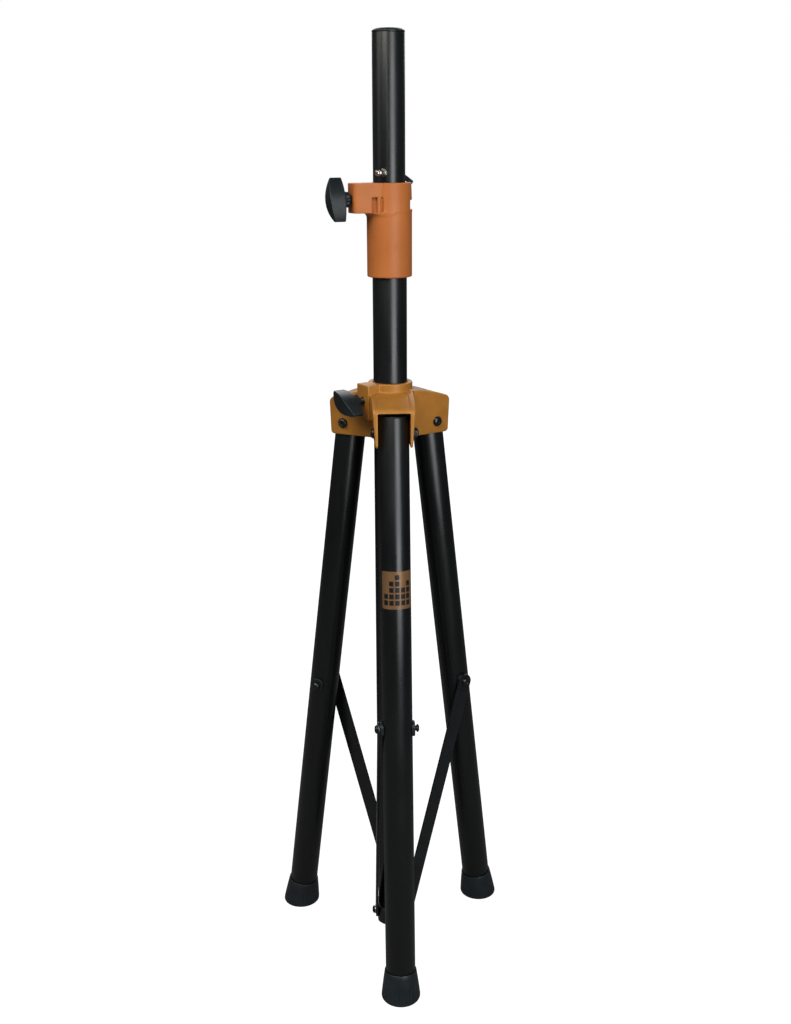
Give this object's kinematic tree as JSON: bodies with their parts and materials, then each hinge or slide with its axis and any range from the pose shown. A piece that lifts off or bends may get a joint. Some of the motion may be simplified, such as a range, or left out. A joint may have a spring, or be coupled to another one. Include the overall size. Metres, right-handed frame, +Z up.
{
  "type": "speaker tripod stand",
  "caption": "Black steel tripod stand for a loudspeaker: telescoping pole, orange clamp collar, golden sliding hub, folding legs with struts and rubber feet.",
  "frame": {"origin": "on the floor, at the middle of the footprint's box; the mast's axis stands 34.3 mm behind it along +Y", "axes": "+Z up along the mast, front leg towards -Y, collar knob towards -X"},
  "size_m": [0.2842, 0.2524, 1.086],
  "materials": {
    "black_tube": "satin black powder coat",
    "black_steel": "black oxide steel, semi-gloss",
    "black_plastic": "moulded plastic, fine satin texture",
    "foot_rubber": "matt moulded rubber",
    "orange_plastic": "satin moulded plastic",
    "gold_casting": "satin golden-brown paint on a die casting",
    "bright_steel": "zinc-plated steel",
    "brass": "turned brass",
    "nylon": "matt nylon",
    "badge_print": "bronze printed label, semi-gloss"
  },
  "bodies": {
    "mast": {"mast_tube": "black_tube", "mast_end_bracket": "black_steel", "collar_housing": "orange_plastic", "collar_insert": "brass"},
    "pole": {"pole_tube": "black_tube", "pole_top_cap": "black_plastic", "pole_bottom_bush": "nylon"},
    "lock_pin": {"lock_pin": "bright_steel", "pin_grip": "black_plastic"},
    "collar_pad": {"collar_clamp_pad": "nylon"},
    "collar_knob": {"collar_knob": "black_plastic", "collar_screw": "black_steel"},
    "hub": {"hub_casting": "gold_casting", "hub_insert": "brass", "pivot_bolt_front": "black_steel", "pivot_nut_front": "black_steel", "pivot_bolt_left": "black_steel", "pivot_nut_left": "black_steel", "pivot_bolt_right": "black_steel", "pivot_nut_right": "black_steel"},
    "hub_pad": {"hub_clamp_pad": "nylon"},
    "hub_knob": {"hub_knob": "black_plastic", "hub_screw": "black_steel"},
    "leg_front": {"leg_tube_front": "black_tube", "leg_plug_front": "black_plastic", "leg_foot_front": "foot_rubber", "knee_saddle_inner_front": "black_plastic", "knee_saddle_outer_front": "black_plastic", "knee_bolt_front": "black_steel", "knee_nut_front": "black_steel", "leg_badge": "badge_print"},
    "strut_front": {"strut_front": "black_steel", "strut_washer_front": "bright_steel", "strut_bolt_front": "black_steel"},
    "leg_left": {"leg_tube_left": "black_tube", "leg_plug_left": "black_plastic", "leg_foot_left": "foot_rubber", "knee_saddle_inner_left": "black_plastic", "knee_saddle_outer_left": "black_plastic", "knee_bolt_left": "black_steel", "knee_nut_left": "black_steel"},
    "strut_left": {"strut_left": "black_steel", "strut_washer_left": "bright_steel", "strut_bolt_left": "black_steel"},
    "leg_right": {"leg_tube_right": "black_tube", "leg_plug_right": "black_plastic", "leg_foot_right": "foot_rubber", "knee_saddle_inner_right": "black_plastic", "knee_saddle_outer_right": "black_plastic", "knee_bolt_right": "black_steel", "knee_nut_right": "black_steel"},
    "strut_right": {"strut_right": "black_steel", "strut_washer_right": "bright_steel", "strut_bolt_right": "black_steel"}
  },
  "joints": [
    {"name": "pole_slide", "type": "slide", "parent": "mast", "child": "pole", "axis": [0, 0, 1], "range_m": [-0.007, 0.7]},
    {"name": "pin_slide", "type": "slide", "parent": "pole", "child": "lock_pin", "axis": [0.4067, 0.9135, 0], "range_m": [0, 0.065]},
    {"name": "collar_pad_slide", "type": "slide", "parent": "mast", "child": "collar_pad", "axis": [-0.9397, -0.342, 0], "range_m": [0, 0.00197]},
    {"name": "collar_knob_turn", "type": "hinge", "parent": "collar_pad", "child": "collar_knob", "pos_m": [-0.04229, 0.01893, 0.9135], "axis": [-0.9397, -0.342, 0], "range_deg": [0, 570]},
    {"name": "hub_pad_slide", "type": "slide", "parent": "hub", "child": "hub_pad", "axis": [-0.866, -0.5, 0], "range_m": [0, 0.00197]},
    {"name": "hub_knob_turn", "type": "hinge", "parent": "hub_pad", "child": "hub_knob", "pos_m": [-0.0323, 0.01567, 0.6949], "axis": [-0.866, -0.5, 0], "range_deg": [0, 570]},
    {"name": "hub_slide", "type": "slide", "parent": "mast", "child": "hub", "axis": [0, 0, -1], "range_m": [-0.0126, 0.1355]},
    {"name": "leg_front_swing", "type": "hinge", "parent": "hub", "child": "leg_front", "pos_m": [0, -0.01568, 0.665], "axis": [-1, 0, 0], "range_deg": [-2.4, 25.1]},
    {"name": "strut_front_swing", "type": "hinge", "parent": "leg_front", "child": "strut_front", "pos_m": [-0.0216, -0.06006, 0.32791], "axis": [1, 0, 0], "range_deg": [-5.2, 55.2]},
    {"name": "leg_left_swing", "type": "hinge", "parent": "hub", "child": "leg_left", "pos_m": [-0.0433, 0.05932, 0.665], "axis": [0.5, 0.866, 0], "range_deg": [-2.4, 25.1]},
    {"name": "strut_left_swing", "type": "hinge", "parent": "leg_left", "child": "strut_left", "pos_m": [-0.07093, 0.10021, 0.32791], "axis": [-0.5, -0.866, 0], "range_deg": [-5.2, 55.2]},
    {"name": "leg_right_swing", "type": "hinge", "parent": "hub", "child": "leg_right", "pos_m": [0.0433, 0.05932, 0.665], "axis": [0.5, -0.866, 0], "range_deg": [-2.4, 25.1]},
    {"name": "strut_right_swing", "type": "hinge", "parent": "leg_right", "child": "strut_right", "pos_m": [0.09254, 0.0628, 0.32791], "axis": [-0.5, 0.866, 0], "range_deg": [-5.2, 55.2]}
  ],
  "couplings": [
    {"joint": "collar_knob_turn", "follows": "collar_pad_slide", "rad_per_m": 5026.6},
    {"joint": "hub_knob_turn", "follows": "hub_pad_slide", "rad_per_m": 5026.6},
    {"joint": "leg_front_swing", "follows": "hub_slide", "rad_per_m": 3.219},
    {"joint": "strut_front_swing", "follows": "hub_slide", "rad_per_m": 7.0928},
    {"joint": "leg_left_swing", "follows": "hub_slide", "rad_per_m": 3.219},
    {"joint": "strut_left_swing", "follows": "hub_slide", "rad_per_m": 7.0928},
    {"joint": "leg_right_swing", "follows": "hub_slide", "rad_per_m": 3.219},
    {"joint": "strut_right_swing", "follows": "hub_slide", "rad_per_m": 7.0928}
  ]
}
